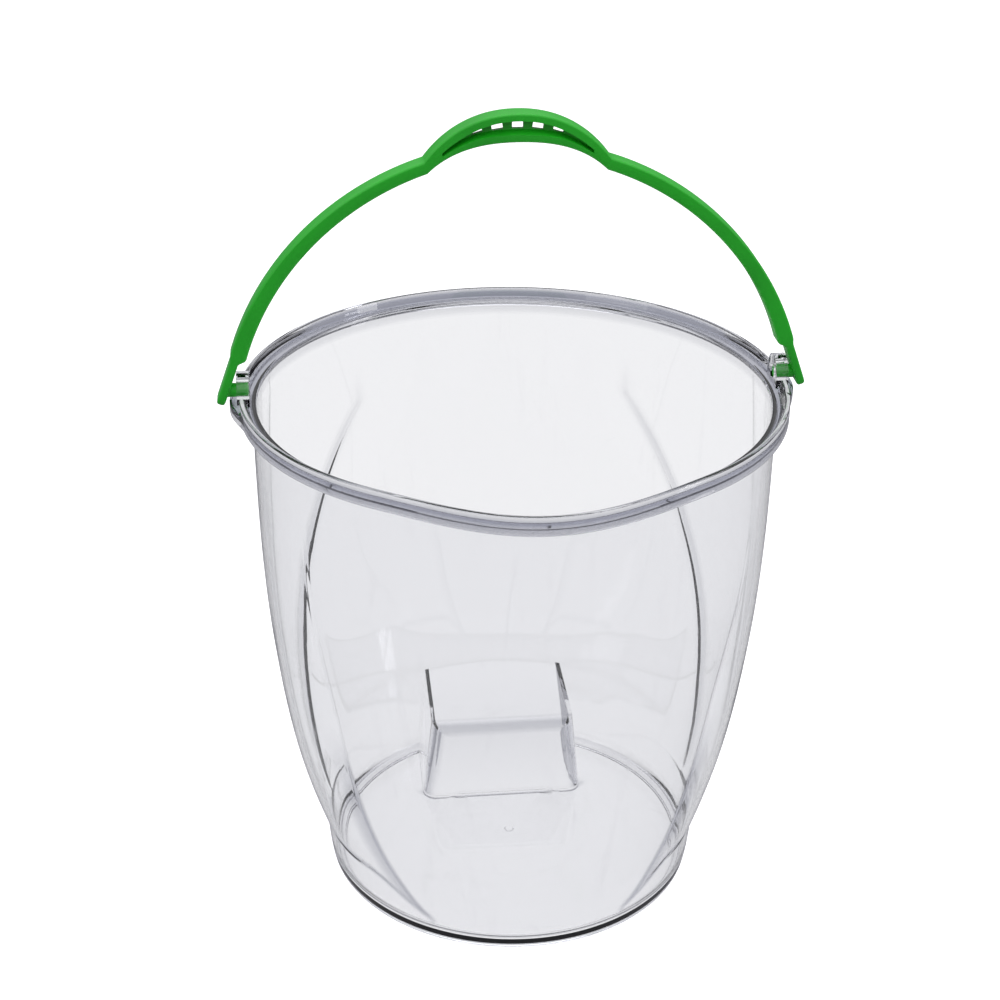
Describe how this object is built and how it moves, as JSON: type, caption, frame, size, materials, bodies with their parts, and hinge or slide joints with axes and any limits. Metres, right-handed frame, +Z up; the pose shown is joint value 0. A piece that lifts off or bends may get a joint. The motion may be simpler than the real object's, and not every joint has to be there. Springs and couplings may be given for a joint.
{
  "type": "pouring bucket",
  "caption": "Clear pouring bucket with side lobes, a front spout, a finger pocket at the back of the base and a swinging carry handle.",
  "frame": {"origin": "on the surface the bucket stands on, under the centre of the footprint of the whole object's bounding box", "axes": "+Z up, +X along the handle's hinge axis towards the right ear, -Y towards the pouring spout"},
  "size_m": [0.297, 0.2793, 0.4178],
  "materials": {
    "clear_plastic": "clear, polished moulded plastic with a faint blue-violet tint at the edges",
    "green_plastic": "mid-green moulded plastic, semi-matt, slightly glossy on the rounded edges"
  },
  "bodies": {
    "bucket": {"bucket": "clear_plastic"},
    "handle": {"carry_handle": "green_plastic"}
  },
  "joints": [
    {"name": "handle_swing", "type": "hinge", "parent": "bucket", "child": "handle", "pos_m": [0, 0.0018, 0.2804], "axis": [1, 0, 0], "range_deg": [-72, 72]}
  ]
}
